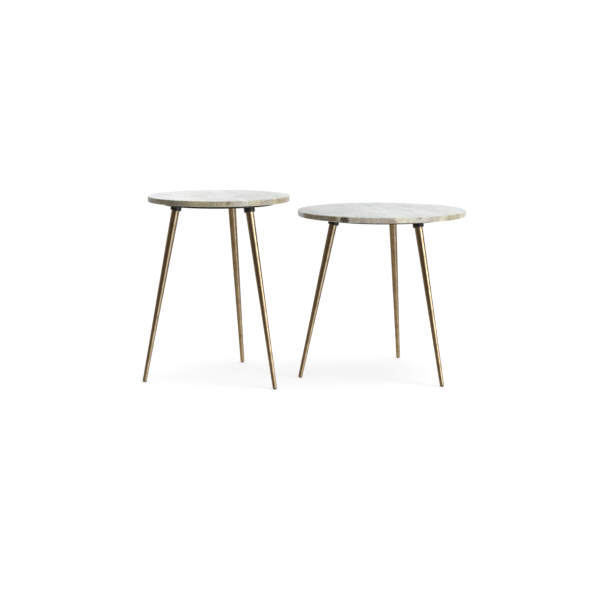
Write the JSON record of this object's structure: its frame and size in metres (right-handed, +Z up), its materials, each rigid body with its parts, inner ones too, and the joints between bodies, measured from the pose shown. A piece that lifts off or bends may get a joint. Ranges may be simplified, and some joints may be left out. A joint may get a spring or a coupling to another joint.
{
  "type": "nesting tables",
  "caption": "Round side tables that nest: a tall one and a wider low one that slides in under it, with stone tops on black backing discs and splayed tapered antique brass legs.",
  "frame": {"origin": "on the floor, under the middle of the pair as it stands side by side", "axes": "+Z up, +X from the tall table towards the low one, +Y to the back of the pair"},
  "size_m": [0.9201, 0.4926, 0.525],
  "materials": {
    "stone": "polished",
    "black_board": "satin",
    "black_iron": "satin",
    "antique_brass": "satin",
    "plated_steel": "satin",
    "glide": "matte"
  },
  "bodies": {
    "tall_table": {"tall_stone_top": "stone", "tall_backing_disc": "black_board", "tall_leg_cup_back": "black_iron", "tall_leg_cup_left": "black_iron", "tall_leg_cup_right": "black_iron", "tall_insert_back": "plated_steel", "tall_insert_left": "plated_steel", "tall_insert_right": "plated_steel", "tall_stud_back": "plated_steel", "tall_stud_left": "plated_steel", "tall_stud_right": "plated_steel", "tall_leg_plug_back": "plated_steel", "tall_leg_plug_left": "plated_steel", "tall_leg_plug_right": "plated_steel", "tall_leg_back": "antique_brass", "tall_leg_left": "antique_brass", "tall_leg_right": "antique_brass", "tall_foot_glide_back": "glide", "tall_foot_glide_left": "glide", "tall_foot_glide_right": "glide"},
    "low_table": {"low_stone_top": "stone", "low_backing_disc": "black_board", "low_leg_cup_back": "black_iron", "low_leg_cup_left": "black_iron", "low_leg_cup_right": "black_iron", "low_insert_back": "plated_steel", "low_insert_left": "plated_steel", "low_insert_right": "plated_steel", "low_stud_back": "plated_steel", "low_stud_left": "plated_steel", "low_stud_right": "plated_steel", "low_leg_plug_back": "plated_steel", "low_leg_plug_left": "plated_steel", "low_leg_plug_right": "plated_steel", "low_leg_back": "antique_brass", "low_leg_left": "antique_brass", "low_leg_right": "antique_brass", "low_foot_glide_back": "glide", "low_foot_glide_left": "glide", "low_foot_glide_right": "glide"}
  },
  "joints": [
    {"name": "nest_slide", "type": "slide", "parent": "tall_table", "child": "low_table", "axis": [-0.9876, 0.1571, 0], "range_m": [0, 0.181]}
  ]
}
